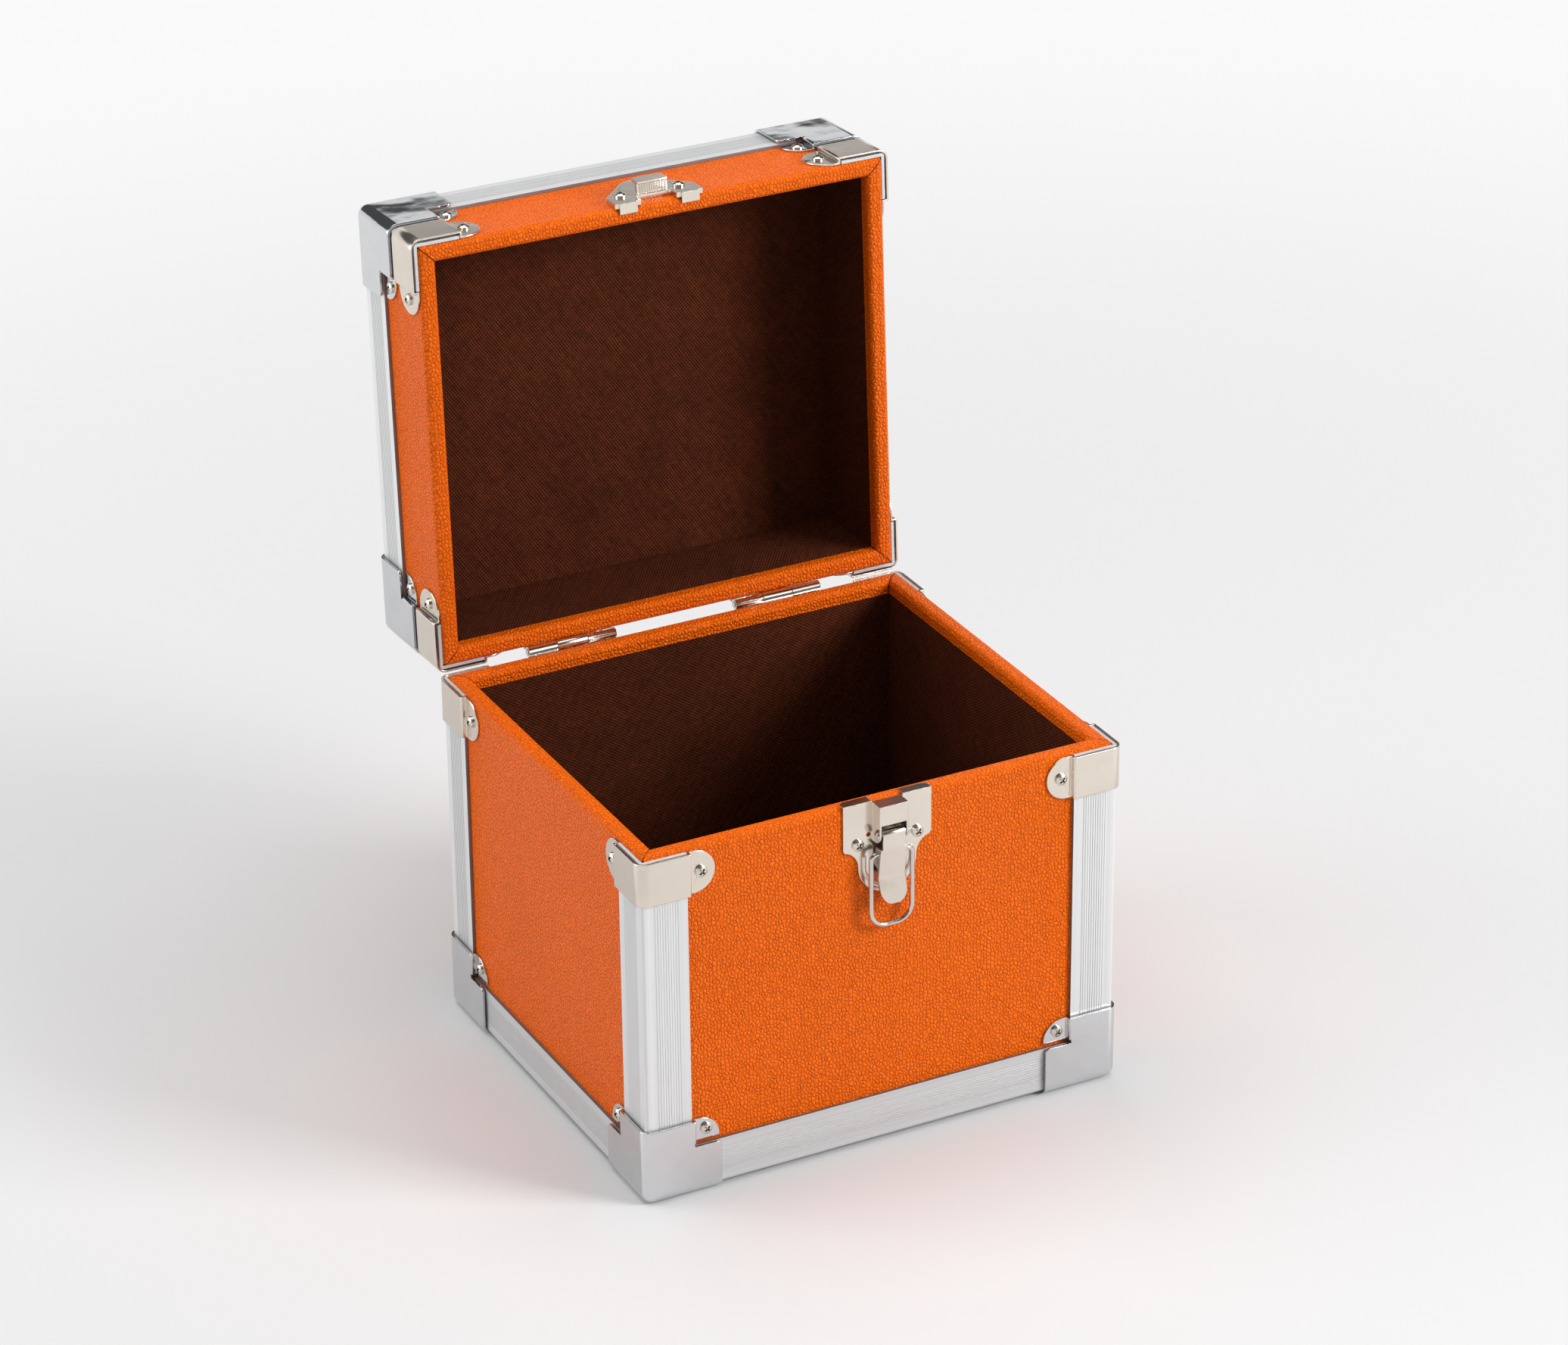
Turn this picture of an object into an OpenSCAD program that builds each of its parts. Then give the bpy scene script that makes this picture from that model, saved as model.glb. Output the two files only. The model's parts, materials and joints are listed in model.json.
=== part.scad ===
// Carrying case for small records: a covered board box with a hinged lid,
// ribbed metal edgings, pressed corner fittings and a draw latch.
// X runs to the right along the front, Y to the back and Z up.
// The origin is on the floor, under the middle of the box.
// The lid is drawn open, resting on the stops of its hinges.

/* [Case] */
// Width of the case over its covering
case_w = 210; // [190:1:240]
// Depth of the case over its covering
case_d = 182; // [170:1:210]
// Height of the rim of the box above the floor
box_top = 155; // [130:1:180]
// Height of the lid from its rim to its top face
lid_h = 54; // [51:1:70]
// Space between the two rims when the lid is shut
rim_gap = 2; // [2:0.1:2.6]
// How far the lid opens, in degrees
open_angle = 93; // [91:0.2:98]

/* [Walls] */
// Thickness of the boards
board_t = 5.6; // [5.6:0.1:8]
// Thickness of the outer covering
cover_t = 0.9; // [0.7:0.1:1.1]
// Thickness of the inner lining
lining_t = 0.9; // [0.7:0.1:1.2]
// How far the covering turns down inside the rim
turn_in = 6; // [5:0.5:10]

/* [Edgings] */
// Width of each leg of the edgings
edge_leg = 20; // [18:0.5:21]
// Thickness of the edgings
edge_t = 1.4; // [1.2:0.1:1.6]
// Number of grooves along each leg
edge_grooves = 10; // [4:1:10]

/* [Corner fittings] */
// Length of a corner fitting along the case
fitting_len = 34; // [33:0.5:38]
// Height of a corner fitting
fitting_h = 33.5; // [33:0.5:38]
// Thickness of the corner fittings
fitting_t = 1; // [0.8:0.1:1.2]
// Height of the band clamps beside the rims
clamp_h = 18.6; // [16:0.2:20]
// Thickness of the band clamps
clamp_t = 0.9; // [0.7:0.1:1]

/* [Latch] */
// Distance of the latch to the right of the middle
latch_x = 1.8; // [-3:0.1:3]
// Width across the ears of the latch plate
latch_w = 39.4; // [38:0.2:46]
// Thickness of the latch and keeper plates
latch_t = 0.8; // [0.7:0.1:0.8]
// Diameter of the wire bail
bail_d = 2; // [1.6:0.1:2.2]
// Width of the keeper plate
keeper_w = 39.6; // [38:0.2:46]

/* [Hinges] */
// Distance of each hinge from the middle of the case
hinge_x = 48; // [40:1:49]
// Length of each hinge
hinge_len = 40; // [36:1:46]
// Diameter of the hinge pins
hinge_pin_d = 2.5; // [2:0.1:2.6]

/* [Handle] */
// Distance between the two arms of the handle
handle_span = 100; // [86:1:110]
// Diameter of the grip
grip_d = 15; // [12:0.5:16]
// Distance from the handle's pivots to the middle of the grip
handle_drop = 32; // [28:1:40]

/* [Hidden] */
$fn = 48;
hw = case_w / 2;
hd = case_d / 2;
// The fittings stand this far off the edgings
stand_off = 0.8;
foot = edge_t + stand_off + fitting_t;
box_h = box_top - foot;
wall_t = cover_t + board_t + lining_t;
rim_r = 2.5;
board_chamfer = 0.9;
plan_r = 2;
// Middle of the rounded outer edges of the fittings
bend_c = 1.4;
fit_in = edge_t + stand_off;
fit_out = fit_in + fitting_t;
clamp_out = fit_in + clamp_t;
// Start of the step down beside the edging
jog = edge_leg - edge_t + 0.3;
slot_w = 1.6;
face_len = fitting_len - fit_out;
face_h = fitting_h - fit_out;
tab_low = jog + slot_w;
tab_r = min(9, face_h - tab_low - 0.8, face_len - jog - 2.9);
tab_screw = [jog + fitting_t + 5, tab_low + 4.8];
rim_inset = 1.5;
clamp_end = jog + 12;
clamp_screw = jog + 5.7;
screw_hole_r = 1.6;
screw_shank_r = 1.5;
screw_head_r = 2.5;
screw_head_h = 1.6;
screw_reach = 5.2;
fit_gap = 0.06;

// Hinge axis and the lid in its shut place
axis_y = hd + 1.2;
axis_z = box_top + rim_gap / 2;
lid_rim = box_top + rim_gap;
lid_top = lid_rim + lid_h;
barrel_r = 2.2;
leaf_t = 1;
leaf_h = 24;
knuckle = hinge_len / 3;
knuckle_gap = 0.3;
heel_len = 5;
leaf_screw_x = 12;
leaf_screw_z = 15;

// Latch sizes, as [out from the wall, up from the rim]
pin_at = [4.6, -13.2];
pin_r = 1;
bail_at = [4.3, -21.5];
bail_r = bail_d / 2;
bail_leg_x = 9.2;
bail_bend = 7;
ear_x = latch_w / 2;
plate_mid = -27.5;
plate_r = 13;
channel_x = 6.4;
channel_out = 6.4;
flange_in = 3.6;
latch_screw = [13.3, -17.3];
lever_x = 5.9;
hook_x = 6.9;
hook_low = 6.5;
hook_top = 7.7;
hook_lip = 12.5;
hook_out = 7.6;
lug_in = 2.5;
keeper_x = keeper_w / 2;
// The keeper is pressed into a low dome over the wall
keeper_rise = 1.4;
keeper_ear_r = 3;
keeper_ear_z = 7.4;
keeper_dome_r = 11;
keeper_dome_z = 14;
keeper_screw = [13.2, 8.6];
bail_len = rim_gap + hook_top + bail_r - bail_at[1];

// Handle sizes
pivot_up = 9.5;
arm_t = 2;
arm_in = handle_span / 2;
arm_gap = 0.4;
ear_in = arm_in + arm_t + arm_gap;
ear_t = 2.2;
bracket_x = 15.6;
bracket_y = 26;
bracket_t = 1.2;
bracket_screw = [8.8, 8.5];
handle_pin_r = 1.5;
hub_r = 4.2;

// The piece to draw, or all of them

// Basic shapes

// A box between two corners
module span(a, b) {
    translate(a) cube(b - a);
}

// A rectangle between two corners
module flat(a, b) {
    translate(a) square(b - a);
}

// Quarter of a disc, pointing along sx and sy
module quarter(r, sx, sy) {
    intersection() {
        circle(r);
        flat([min(0, sx) * (r + 1), min(0, sy) * (r + 1)], [max(0, sx) * (r + 1), max(0, sy) * (r + 1)]);
    }
}

// Rectangle centred on the origin with its four corners rounded
module round_rect(w, d, r) {
    flat([-w / 2 + r, -d / 2], [w / 2 - r, d / 2]);
    for (s = [-1, 1]) {
        flat([min(s * (w / 2 - r), s * w / 2), -d / 2 + r], [max(s * (w / 2 - r), s * w / 2), d / 2 - r]);
        for (q = [-1, 1]) {
            translate([s * (w / 2 - r), q * (d / 2 - r)]) quarter(r, s, q);
        }
    }
}

// Rectangle standing on the X axis with its two top corners rounded
module round_top(w, h, r) {
    flat([-w / 2 + r, 0], [w / 2 - r, h]);
    for (s = [-1, 1]) {
        flat([min(s * (w / 2 - r), s * w / 2), 0], [max(s * (w / 2 - r), s * w / 2), h - r]);
        translate([s * (w / 2 - r), h - r]) quarter(r, s, 1);
    }
}

// Rectangle standing on the X axis with its two top corners cut off
module cut_top(w, h, c) {
    polygon([
        [-w / 2, 0], [w / 2, 0], [w / 2, h - c], [w / 2 - c, h],
        [-w / 2 + c, h], [-w / 2, h - c]
    ]);
}

// Opening in section, flaring over rounded edges that end at height h
module flare_round(w, z0, h, r) {
    difference() {
        flat([-w / 2 - r, z0], [w / 2 + r, h + 2]);
        for (s = [-1, 1]) {
            flat([min(s * w / 2, s * (w / 2 + r + 1)), z0 - 1], [max(s * w / 2, s * (w / 2 + r + 1)), h - r]);
            translate([s * (w / 2 + r), h - r]) quarter(r, -s, 1);
        }
    }
}

// Opening in section, flaring over edges cut at 45 degrees that end at height h
module flare_cut(w, z0, h, c) {
    polygon([
        [-w / 2, z0], [w / 2, z0], [w / 2, h - c], [w / 2 + c, h], [w / 2 + c, h + 2],
        [-w / 2 - c, h + 2], [-w / 2 - c, h], [-w / 2, h - c]
    ]);
}

// Section in [out, up], drawn along X and facing the front
module along_x(len) {
    rotate([90, 0, -90]) linear_extrude(len, center = true) children();
}

// A shape copied to the four corners of a tray
module at_corners(w, d) {
    for (sx = [0, 1]) {
        for (sy = [0, 1]) {
            mirror([sx, 0, 0]) mirror([0, sy, 0]) translate([-w / 2, -d / 2, 0]) children();
        }
    }
}

// A shape at one corner of a tray
module at_corner(w, d, sx, sy) {
    mirror([sx, 0, 0]) mirror([0, sy, 0]) translate([-w / 2, -d / 2, 0]) children();
}

// The three faces that meet at a corner, each with Z pointing out
module on_front() {
    rotate([90, 0, 0]) children();
}

module on_side() {
    mirror([1, -1, 0]) rotate([90, 0, 0]) children();
}

module on_base() {
    mirror([0, 0, 1]) children();
}

// Screws

// Screw with its head standing on a fitting of thickness t
module screw(t) {
    difference() {
        union() {
            translate([0, 0, t]) intersection() {
                cylinder(h = screw_head_h, r = screw_head_r);
                translate([0, 0, screw_head_h - 4.2]) sphere(4.2);
            }
            translate([0, 0, 1.6 - screw_reach]) cylinder(h = screw_reach - 1.6 + t, r = screw_shank_r);
            translate([0, 0, -screw_reach]) cylinder(h = 1.6, r1 = 0.3, r2 = screw_shank_r);
        }
        for (a = [45, 135]) {
            translate([0, 0, t + screw_head_h]) rotate(a) cube([2.9, 0.75, 1.7], center = true);
        }
    }
}

// Hole for a screw, through fitting, covering and board, up to the height top above the wall
module screw_hole(top = 1.7) {
    translate([0, 0, -screw_reach - 0.3]) cylinder(h = screw_reach + 0.3 + top, r = screw_hole_r);
}

// Places of the screws of one corner fitting, by face
module tab_spot() {
    translate([tab_screw[0], tab_screw[1], 0]) children();
}

// Place of the screw of one arm of a clamp, h being the height of the tray
module clamp_spot(h) {
    translate([clamp_screw, h - rim_inset - clamp_h / 2, 0]) children();
}

// Trays: the box and the lid are both drawn as a tray with its closed
// face at z = 0 and its rim at z = h

// The whole block of a tray with its rim edges rounded
module tray_block(w, d, h) {
    intersection() {
        linear_extrude(h) round_rect(w, d, plan_r);
        rotate([90, 0, 0]) linear_extrude(d + 2, center = true) round_top(w, h, rim_r);
        rotate([90, 0, 90]) linear_extrude(w + 2, center = true) round_top(d, h, rim_r);
    }
}

// Space taken by the boards of the walls
module wall_space(w, d, h, low) {
    bw = w - 2 * cover_t;
    bd = d - 2 * cover_t;
    iw = w - 2 * (cover_t + board_t);
    id = d - 2 * (cover_t + board_t);
    top = h - cover_t;
    difference() {
        intersection() {
            translate([-bw / 2, -bd / 2, low]) cube([bw, bd, top - low]);
            rotate([90, 0, 0]) linear_extrude(bd + 2, center = true) cut_top(bw, top, board_chamfer);
            rotate([90, 0, 90]) linear_extrude(bw + 2, center = true) cut_top(bd, top, board_chamfer);
        }
        intersection() {
            rotate([90, 0, 0]) linear_extrude(id + 8, center = true)
                flare_cut(iw, low - 1, top, board_chamfer);
            rotate([90, 0, 90]) linear_extrude(iw + 8, center = true)
                flare_cut(id, low - 1, top, board_chamfer);
        }
    }
}

// Holes for every screw in the faces of a tray
module tray_holes(w, d, h, faces) {
    at_corners(w, d) {
        if (faces[0]) on_front() tab_spot() screw_hole();
        if (faces[0]) on_front() clamp_spot(h) screw_hole();
        if (faces[1]) on_side() tab_spot() screw_hole();
        if (faces[1]) on_side() clamp_spot(h) screw_hole();
        if (faces[2]) on_base() tab_spot() screw_hole();
    }
}

// Front or back board, with s = -1 for the front
module long_board(w, d, h, s) {
    difference() {
        intersection() {
            wall_space(w, d, h, cover_t);
            span(
                [-w / 2, s * d / 2 - (s > 0 ? cover_t + board_t : 0), 0],
                [w / 2, s * d / 2 + (s < 0 ? cover_t + board_t : 0), h]
            );
        }
        tray_holes(w, d, h, [true, false, false]);
    }
}

// Side board between the front and the back, with s = -1 for the left
module side_board(w, d, h, s) {
    inner = d / 2 - cover_t - board_t;
    difference() {
        intersection() {
            wall_space(w, d, h, cover_t);
            span(
                [s * w / 2 - (s > 0 ? cover_t + board_t : 0), -inner, 0],
                [s * w / 2 + (s < 0 ? cover_t + board_t : 0), inner, h]
            );
        }
        tray_holes(w, d, h, [false, true, false]);
    }
}

// Board of the closed face, between the four walls
module face_board(w, d) {
    iw = w - 2 * (cover_t + board_t);
    id = d - 2 * (cover_t + board_t);
    difference() {
        translate([-iw / 2, -id / 2, cover_t]) cube([iw, id, board_t]);
        tray_holes(w, d, 0, [false, false, true]);
    }
}

// Outer covering, turned over the rim and down inside it
module covering(w, d, h) {
    bw = w - 2 * cover_t;
    bd = d - 2 * cover_t;
    iw = w - 2 * wall_t;
    id = d - 2 * wall_t;
    strip = h - turn_in;
    difference() {
        tray_block(w, d, h);
        translate([-bw / 2, -bd / 2, cover_t]) cube([bw, bd, strip - cover_t]);
        wall_space(w, d, h, strip - 1);
        intersection() {
            rotate([90, 0, 0]) linear_extrude(id + 8, center = true) flare_round(iw, strip - 1, h, rim_r);
            rotate([90, 0, 90]) linear_extrude(iw + 8, center = true) flare_round(id, strip - 1, h, rim_r);
        }
        tray_holes(w, d, h, [true, true, true]);
        // the covering is cut and butted at the corners of the rim
        at_corners(w, d) translate([0, 0, h - 0.6]) rotate(45) translate([-2, -0.15, 0]) cube([14, 0.3, 2]);
    }
}

// Lining of the walls and of the closed face
module lining(w, d, h) {
    ow = w - 2 * (cover_t + board_t);
    od = d - 2 * (cover_t + board_t);
    low = cover_t + board_t;
    top = h - turn_in;
    difference() {
        translate([-ow / 2, -od / 2, low]) cube([ow, od, top - low]);
        translate([-ow / 2 + lining_t, -od / 2 + lining_t, low + lining_t])
            cube([ow - 2 * lining_t, od - 2 * lining_t, top]);
    }
}

// Edgings

// Ribbed angle section with its inside corner at the origin
module angle_section() {
    end = edge_leg - edge_t;
    pitch = (end - 7.5) / edge_grooves;
    difference() {
        union() {
            flat([0, -edge_t], [end, 0]);
            flat([-edge_t, 0], [0, end]);
            quarter(edge_t, -1, -1);
        }
        for (i = [0 : edge_grooves - 1]) {
            at = 4 + i * pitch;
            flat([at, -edge_t - 1], [at + 0.3, -edge_t + 0.1]);
            flat([-edge_t - 1, at], [-edge_t + 0.1, at + 0.3]);
        }
    }
}

// Four upright edgings, from the edging of the closed face to near the rim
module upright_edgings(w, d, h) {
    low = edge_leg - edge_t + 0.2;
    at_corners(w, d) {
        translate([0, 0, low]) linear_extrude(h - rim_inset - low) angle_section();
    }
}

// One edging of the closed face, along X at the front, mitred at both ends
module face_edging(w, d) {
    tip = (edge_t + 0.5) / 2;
    low = edge_t + 0.6;
    step = low - 2 * tip;
    gap = 0.1;
    difference() {
        intersection() {
            translate([0, -d / 2, 0]) rotate([90, 0, 90])
                linear_extrude(w + 2 * edge_t, center = true) angle_section();
            translate([0, 0, -edge_t - 1]) linear_extrude(edge_leg + 2) polygon([
                [-w / 2 - tip + gap, -d / 2 - tip], [-w / 2 + step + gap, -d / 2 - low],
                [w / 2 - step - gap, -d / 2 - low], [w / 2 + tip - gap, -d / 2 - tip],
                [w / 2 - edge_leg - gap, -d / 2 + edge_leg], [-w / 2 + edge_leg + gap, -d / 2 + edge_leg]
            ]);
        }
        // the tips are cut off to clear the corner fittings
        for (s = [-1, 1]) {
            translate([s * w / 2 - (s > 0 ? 0.9 : 3), -d / 2 - 3, -3]) cube([3.9, 3.9, 3.9]);
        }
    }
}

module face_edgings(w, d) {
    for (s = [0, 1]) {
        mirror([0, s, 0]) face_edging(w, d);
        mirror([1, -1, 0]) mirror([0, s, 0]) face_edging(d, w);
    }
}

// Corner fittings and clamps

// One face of a corner fitting, Z pointing out of the covering
module fitting_face(len, high) {
    t = fitting_t;
    difference() {
        union() {
            // raised plate over both edgings
            translate([0, 0, fit_in]) linear_extrude(t) {
                flat([bend_c, bend_c], [jog, high]);
                flat([jog, bend_c], [len - 2, jog]);
                flat([len - 2, bend_c], [len, jog - 2]);
                translate([len - 2, jog - 2]) quarter(2, 1, 1);
            }
            // step down to the covering
            translate([jog, tab_low, fit_in]) rotate([-90, 0, 0])
                linear_extrude(high - tab_low) quarter(t, 1, -1);
            translate([jog, tab_low, 0]) cube([t, high - tab_low, fit_in]);
            // tab lying on the covering
            linear_extrude(t) {
                flat([jog, tab_low], [len - tab_r, high]);
                flat([len - tab_r, tab_low], [len, high - tab_r]);
                translate([len - tab_r, high - tab_r]) quarter(tab_r, 1, 1);
            }
        }
        tab_spot() screw_hole();
    }
}

// Bent edge of a fitting, joining two faces along Z
module bent_edge(out, t, from, to) {
    translate([bend_c, bend_c, from]) linear_extrude(to - from) intersection() {
        difference() {
            circle(bend_c + out);
            circle(bend_c + out - t);
        }
        flat([-10, -10], [0, 0]);
    }
}

// Pressed corner fitting at the origin, its three faces towards -X, -Y and -Z
module corner_fitting() {
    on_front() fitting_face(face_len, face_h);
    on_side() fitting_face(face_len, face_h);
    on_base() fitting_face(face_len, face_len);
    bent_edge(fit_out, fitting_t, bend_c, face_h);
    rotate([90, 0, 90]) bent_edge(fit_out, fitting_t, bend_c, face_len);
    mirror([1, -1, 0]) rotate([90, 0, 90]) bent_edge(fit_out, fitting_t, bend_c, face_len);
    translate([bend_c, bend_c, bend_c]) intersection() {
        difference() {
            sphere(bend_c + fit_out);
            sphere(bend_c + fit_in);
        }
        span([-10, -10, -10], [0, 0, 0]);
    }
}

// One arm of a band clamp, centred on its own height
module clamp_arm() {
    t = clamp_t;
    half = clamp_h / 2;
    difference() {
        union() {
            translate([bend_c, -half, fit_in]) cube([jog - bend_c, clamp_h, t]);
            translate([jog, half, fit_in]) rotate([90, 0, 0])
                linear_extrude(clamp_h) quarter(t, 1, 1);
            translate([jog, -half, 0]) cube([t, clamp_h, fit_in]);
            linear_extrude(t) {
                flat([jog, -half], [clamp_end - half, half]);
                translate([clamp_end - half, 0]) intersection() {
                    circle(half);
                    flat([0, -half - 1], [half + 1, half + 1]);
                }
            }
        }
        translate([clamp_screw, 0, 0]) screw_hole();
    }
}

// Band clamp round the corner of a tray of height h
module band_clamp(h) {
    mid = h - rim_inset - clamp_h / 2;
    translate([0, 0, mid]) {
        on_front() clamp_arm();
        on_side() clamp_arm();
        bent_edge(clamp_out, clamp_t, -clamp_h / 2, clamp_h / 2);
    }
}

module tray_corner_screws(w, d) {
    at_corners(w, d) {
        on_front() tab_spot() screw(fitting_t);
        on_side() tab_spot() screw(fitting_t);
        on_base() tab_spot() screw(fitting_t);
    }
}

module tray_clamp_screws(w, d, h) {
    at_corners(w, d) {
        on_front() clamp_spot(h) screw(clamp_t);
        on_side() clamp_spot(h) screw(clamp_t);
    }
}

// Latch on the front of the box, drawn as [out from the wall, up from the rim]

// Places at the top of the front wall of the box
module at_latch() {
    translate([latch_x, -hd, box_top]) children();
}

// Both sides of the latch
module both_sides() {
    for (s = [-1, 1]) {
        mirror([s < 0 ? 1 : 0, 0, 0]) children();
    }
}

// Outline of the latch plate: two ears, hollow shoulders and a round end
module latch_outline() {
    scoop = 8;
    // the lower corners of the ears are rounded down to the scoops
    r = 2;
    low = plate_mid + sqrt(scoop * scoop - pow(plate_r + scoop - ear_x + r, 2)) + r;
    difference() {
        union() {
            flat([-ear_x + r, plate_mid], [ear_x - r, 0]);
            flat([-ear_x, low], [ear_x, 0]);
        }
        for (s = [-1, 1]) {
            translate([s * (plate_r + scoop), plate_mid]) circle(scoop);
        }
    }
    for (s = [-1, 1]) {
        translate([s * (ear_x - r), low]) quarter(r, s, -1);
    }
    translate([0, plate_mid]) intersection() {
        circle(plate_r);
        flat([-plate_r - 1, -plate_r - 1], [plate_r + 1, 0]);
    }
}

// Raised bead round the lower part of the plate
module latch_bead() {
    r = 10.4;
    up = 4.5;
    translate([0, plate_mid, 0]) {
        intersection() {
            rotate_extrude() translate([r, 0]) bead_section();
            span([-15, -15, -1], [15, 0, 3]);
        }
        for (s = [-1, 1]) {
            translate([s * r, up, 0]) rotate([90, 0, 0]) linear_extrude(up) bead_section();
        }
    }
}

module bead_section() {
    half = 0.7;
    intersection() {
        circle(half);
        flat([-half - 1, 0], [half + 1, half + 1]);
    }
}

// Side cheek of the channel, in section
module cheek_section() {
    r = 4;
    low = -17;
    difference() {
        union() {
            flat([latch_t, low], [channel_out - r, 0]);
            flat([channel_out - r, low + r], [channel_out, 0]);
            translate([channel_out - r, low + r]) quarter(r, 1, -1);
        }
        translate(pin_at) circle(pin_r + 0.02);
    }
}

module latch_plate_body() {
    t = latch_t;
    difference() {
        rotate([90, 0, 0]) {
            linear_extrude(t) latch_outline();
            translate([0, 0, t]) latch_bead();
        }
        both_sides() translate([latch_screw[0], 0, latch_screw[1]]) on_front() screw_hole();
        translate([-8.4, 1, -13.6]) rotate([90, 0, 0]) cylinder(h = 4, r = 1);
    }
    // the ears are folded over the rim
    both_sides() linear_extrude(t) {
        flat([7, -t], [ear_x - 2.5, flange_in]);
        flat([ear_x - 2.5, -t], [ear_x, flange_in - 2.5]);
        translate([ear_x - 2.5, flange_in - 2.5]) quarter(2.5, 1, 1);
    }
    // channel with its closed top and front
    both_sides() translate([channel_x - t / 2, 0, 0]) along_x(t) cheek_section();
    span([-channel_x + t, -channel_out + t, -t], [channel_x - t, -t, 0]);
    span([-channel_x + t, -channel_out, -8.5], [channel_x - t, -channel_out + t, 0]);
}

// Lever, in section: the curl round the pin, the sloping body and the finger tab
module lever_strip_section() {
    difference() {
        union() {
            translate(pin_at) circle(2.2);
            polygon([[6.7, -13.2], [6.7, -19], [5.8, -19], [5.8, -13.2]]);
        }
        translate(pin_at) circle(pin_r + fit_gap);
    }
}

module lever_body_section() {
    polygon([
        [6.7, -19], [4.4, -32.5], [8, -43], [7.15, -43.3], [3.47, -32.6], [5.8, -19]
    ]);
}

module lever_cheek_section() {
    difference() {
        polygon([
            [6.2, -19.2], [2.6, -19.2], [1.9, -20], [1.9, -24], [0.95, -25.5], [0.95, -27.5], [4.5, -29]
        ]);
        translate(bail_at) circle(bail_r + fit_gap);
    }
}

module lever() {
    round_z = -37.4;
    along_x(10) lever_strip_section();
    intersection() {
        along_x(2 * lever_x) lever_body_section();
        union() {
            span([-lever_x, -20, round_z], [lever_x, 0, -18]);
            translate([0, 0, round_z]) rotate([90, 0, 0]) linear_extrude(20) intersection() {
                circle(lever_x);
                flat([-lever_x - 1, -lever_x - 1], [lever_x + 1, 0]);
            }
        }
    }
    both_sides() translate([lever_x - 0.45, 0, 0]) along_x(0.9) lever_cheek_section();
}

// Wire bail, hanging from the lever
module bail() {
    side = bail_len - bail_bend;
    turn = 2.5;
    translate([0, -bail_at[0], bail_at[1]]) {
        both_sides() {
            // stub through the side of the lever
            translate([4.6, 0, 0]) rotate([0, 90, 0]) cylinder(h = bail_leg_x - turn - 4.6, r = bail_r);
            translate([bail_leg_x - turn, 0, -turn]) rotate([90, 0, 0])
                rotate_extrude(angle = 90) translate([turn, 0]) circle(bail_r);
            translate([bail_leg_x, 0, -side]) cylinder(h = side - turn, r = bail_r);
            translate([bail_leg_x - bail_bend, 0, -side]) rotate([90, 0, 0])
                rotate_extrude(angle = -90) translate([bail_bend, 0]) circle(bail_r);
        }
        translate([bail_bend - bail_leg_x, 0, -bail_len]) rotate([0, 90, 0])
            cylinder(h = 2 * (bail_leg_x - bail_bend), r = bail_r);
    }
}

// Keeper on the front of the shut lid, drawn as [out from the wall, up from the lid's rim]

// Places at the rim of the front wall of the shut lid
module at_keeper() {
    translate([latch_x, -hd, lid_rim]) children();
}

// Outline of the keeper, drawn in by e: two ears, straight shoulders and a domed top,
// with a notch in its front edge below the hook
module keeper_outline(e) {
    ear = keeper_x - keeper_ear_r;
    rise = keeper_dome_z - keeper_ear_z;
    lean = atan2(rise, ear) + asin((keeper_dome_r - keeper_ear_r) / norm([ear, rise]));
    out = [sin(lean), cos(lean)];
    near = [ear, keeper_ear_z] + (keeper_ear_r - e) * out;
    far = [0, keeper_dome_z] + (keeper_dome_r - e) * out;
    difference() {
        union() {
            flat([-keeper_x + e, e], [keeper_x - e, keeper_ear_z]);
            translate([0, keeper_dome_z]) circle(keeper_dome_r - e);
            for (s = [-1, 1]) {
                translate([s * ear, keeper_ear_z]) circle(keeper_ear_r - e);
            }
            polygon([
                [-ear, keeper_ear_z - 1], [-ear, keeper_ear_z], [-near[0], near[1]], [-far[0], far[1]],
                [0, keeper_dome_z], [far[0], far[1]], near, [ear, keeper_ear_z], [ear, keeper_ear_z - 1]
            ]);
        }
        flat([-8 - e, -1], [8 + e, 4.4]);
        flat([-7, 4.3], [7, 5.4 + e]);
        for (s = [-1, 1]) {
            translate([s * 7, 4.4]) quarter(1 + e, s, 1);
        }
    }
}

// Hook in section: ridged wall, lip and the small turned-down edge
module hook_section() {
    t = latch_t;
    flat([keeper_rise + t, hook_low], [hook_out - t, hook_top]);
    flat([hook_out - t, hook_low], [hook_out, hook_lip]);
    flat([hook_out - t, hook_low - 0.8], [hook_out, hook_low]);
}

module keeper_body() {
    t = latch_t;
    difference() {
        rotate([90, 0, 0]) linear_extrude(keeper_rise + t) keeper_outline(0);
        rotate([90, 0, 0]) translate([0, 0, -1]) linear_extrude(keeper_rise + 1) keeper_outline(t);
        both_sides() translate([keeper_screw[0], 0, keeper_screw[1]]) on_front() screw_hole(4);
    }
    both_sides() span([10, -keeper_rise - t, -t], [18, lug_in, 0]);
    intersection() {
        difference() {
            along_x(2 * hook_x) hook_section();
            for (i = [-5 : 5]) {
                span([1.1 * i - 0.25, -hook_out + 1, hook_low - 1], [1.1 * i + 0.25, 0, hook_low + 0.25]);
            }
        }
        // the lip has rounded corners
        rotate([90, 0, 0]) linear_extrude(hook_out + 1) {
            flat([-hook_x - 1, 0], [hook_x + 1, hook_lip - 2]);
            flat([-hook_x + 2, hook_lip - 2], [hook_x - 2, hook_lip]);
            for (s = [-1, 1]) {
                translate([s * (hook_x - 2), hook_lip - 2]) quarter(2, s, 1);
            }
        }
    }
}

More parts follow.
